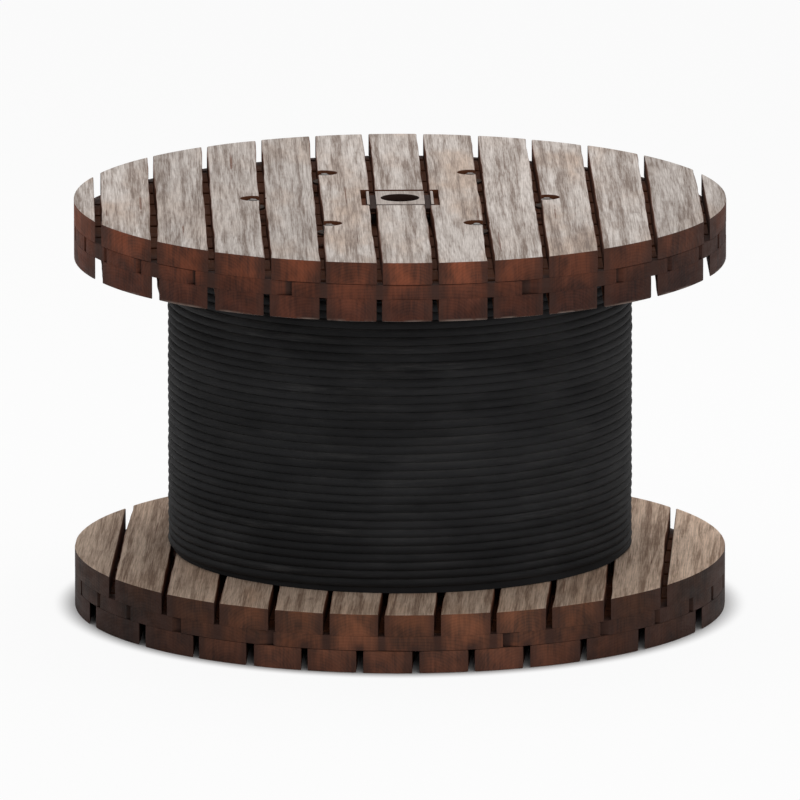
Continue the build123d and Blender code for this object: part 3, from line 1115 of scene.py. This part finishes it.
class DRUM_OT_fit_rods(bpy.types.Operator):
    """Fits the tie rods with their washers and nuts"""

    bl_idname = "drum.fit_rods"
    bl_label = "Fit Tie Rods"

    def execute(self, context):
        steel = context.scene.drum_steel
        zinc = dull_steel("dull zinc", steel.steel, steel.rust, roughness=0.48, specular=0.3, metallic=0.4)
        # Painted shade with rust: the washers' steel is made dark
        dark_steel = dull_steel("dark steel", steel.washer, steel.rust, roughness=0.72, specular=0.05)
        rng = np.random.default_rng(6)
        hole = ROD_RADIUS + steel.hole_clearance
        for end in ENDS:
            low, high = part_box(f"{end}_washers")
            radius = high.x - ROD_PLACES[:, 0].max()
            washers = [washer(rod, low.z, high.z, hole, radius) for rod in ROD_PLACES]
            piece = new_object(f"{end}_washer_set", *joined(washers))
            finish_piece(piece, dark_steel, "tie_rod_steel", f"{end}_washers")
            low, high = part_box(f"{end}_nuts")
            turned_places = zip(ROD_PLACES, rng.uniform(0, math.pi, len(ROD_PLACES)))
            nuts = [nut(rod, low.z, high.z, steel.nut_width, turn) for rod, turn in turned_places]
            piece = new_object(f"{end}_nut_set", *joined(nuts))
            finish_piece(piece, zinc, "tie_rod_steel", f"{end}_nuts")
        for number, (rod, (low, high)) in enumerate(zip(ROD_PLACES, TIE_RODS), start=1):
            piece = new_object(f"threaded_rod_{number}", *tie_rod(rod, low.z, high.z, steel))
            finish_piece(piece, zinc, "tie_rod_steel", f"tie_rod_{number}")
        return {"FINISHED"}


class DRUM_OT_wind_cable(bpy.types.Operator):
    """Winds the cable on the barrel from flange to flange"""

    bl_idname = "drum.wind_cable"
    bl_label = "Wind Cable"

    def execute(self, context):
        cable = context.scene.drum_cable
        piece = new_object("wound_cable", *wound_cable(cable, context.scene.drum_plates))
        finish_piece(piece, cable_sheath("black sheath", cable), "cable_sheath", "cable_winding")
        return {"FINISHED"}


class DRUM_OT_set_stage(bpy.types.Operator):
    """Sets the floor, the lamps and the camera"""

    bl_idname = "drum.set_stage"
    bl_label = "Set Stage"

    def execute(self, context):
        scene = context.scene
        stage = scene.drum_stage
        scene.view_settings.view_transform = "Standard"
        middle = (CAD_BOX[0] + CAD_BOX[1]) / 2
        lay_floor(stage)
        light_sky(scene, stage)
        hang_lamp("key", stage.key, place=(0.3, 1.4, 4.6), size=(4.0, 3.0), target=middle)
        hang_lamp("front", stage.front, place=(1.4, -6.0, 2.6), size=(4.0, 2.4), target=middle)
        aim_camera(scene, stage, middle)
        return {"FINISHED"}


def lay_floor(stage):
    """A large pale floor, which the camera and mirrors see mixed with plain white, except under the drum."""
    half = stage.floor_side / 2
    corners = [(-half, -half, 0), (half, -half, 0), (half, half, 0), (-half, half, 0)]
    floor = new_object("floor", np.array(corners), np.array([[0, 1, 2, 3]]))
    n = Nodes(bpy.data.materials.new("pale floor"))
    n.fill(n.shader.inputs["Base Color"], stage.floor_grey)
    n.shader.inputs["Roughness"].default_value = 0.9
    n.shader.inputs["Specular IOR Level"].default_value = 0.0
    x, y, _ = n.parts(n.position())
    beside_drum = n.ramp(n.distance(x, y), FLANGE_RADIUS - 0.01, FLANGE_RADIUS + 0.05, 0.0, stage.floor_glow)
    seen = n.times(n.seen_directly(), beside_drum)
    white = n.node("ShaderNodeEmission", {"Color": (1.0, 1.0, 1.0), "Strength": 1.0}).outputs[0]
    mixed = n.node("ShaderNodeMixShader", {0: seen, 1: n.shader.outputs[0], 2: white}).outputs[0]
    n.fill(n.tree.nodes["Material Output"].inputs["Surface"], mixed)
    dress(floor, n.owner)


def light_sky(scene, stage):
    """A white world, which lights the drum at a lower strength than the camera and mirrors see."""
    n = Nodes(bpy.data.worlds.new("studio"))
    background = n.tree.nodes["Background"].inputs
    background["Color"].default_value = (1, 1, 1, 1)
    n.fill(background["Strength"], n.ramp(n.seen_directly(), 0.0, 1.0, stage.sky, 1.0))
    scene.world = n.owner


def aimed(name, data, place, direction):
    """A lamp or camera that looks in a direction from its place."""
    made = linked(name, data)
    made.location = place
    made.rotation_euler = direction.to_track_quat("-Z", "Y").to_euler()
    return made


def hang_lamp(name, power, place, size, target):
    """A soft rectangular lamp that faces a point."""
    lamp = bpy.data.lights.new(name, "AREA")
    lamp.shape = "RECTANGLE"
    lamp.size, lamp.size_y = size
    lamp.energy = power
    aimed(name, lamp, place, target - Vector(place))


def aim_camera(scene, stage, middle):
    """A long lens far away, because the photograph shows nearly no perspective."""
    camera = bpy.data.cameras.new("camera")
    camera.sensor_width = 36.0
    camera.lens = camera.sensor_width * stage.distance / stage.framed_width
    camera.clip_end = 4 * stage.distance
    level = math.cos(stage.elevation)
    to_side, to_front = math.sin(stage.azimuth) * level, -math.cos(stage.azimuth) * level
    back = Vector((to_side, to_front, math.sin(stage.elevation)))
    scene.camera = aimed("camera", camera, middle + stage.distance * back, -back)


GROUPS = {
    "drum_boards": DrumBoardSettings,
    "drum_plates": DrumPlateSettings,
    "drum_steel": DrumSteelSettings,
    "drum_cable": DrumCableSettings,
    "drum_stage": DrumStageSettings,
}
OPERATORS = (
    DRUM_OT_lay_boards,
    DRUM_OT_let_in_plates,
    DRUM_OT_fit_rods,
    DRUM_OT_wind_cable,
    DRUM_OT_set_stage,
)


class DRUM_PT_finish(bpy.types.Panel):
    """Lists the drum's steps and their settings"""

    bl_idname = "DRUM_PT_finish"
    bl_label = "Cable Drum"
    bl_space_type = "VIEW_3D"
    bl_region_type = "UI"
    bl_category = "Cable Drum"

    def draw(self, context):
        for operator, (group, settings) in zip(OPERATORS, GROUPS.items()):
            self.layout.operator(operator.bl_idname)
            box = self.layout.box()
            for name in settings.__annotations__:
                box.prop(getattr(context.scene, group), name)


def register():
    for group, settings in GROUPS.items():
        bpy.utils.register_class(settings)
        setattr(bpy.types.Scene, group, PointerProperty(type=settings))
    for shown in (*OPERATORS, DRUM_PT_finish):
        bpy.utils.register_class(shown)


def unregister():
    for shown in (DRUM_PT_finish, *OPERATORS):
        bpy.utils.unregister_class(shown)
    for group, settings in GROUPS.items():
        delattr(bpy.types.Scene, group)
        bpy.utils.unregister_class(settings)


def main():
    register()
    bpy.ops.drum.lay_boards()
    bpy.ops.drum.let_in_plates()
    bpy.ops.drum.fit_rods()
    bpy.ops.drum.wind_cable()
    bpy.ops.drum.set_stage()


if __name__ == "__main__":
    main()
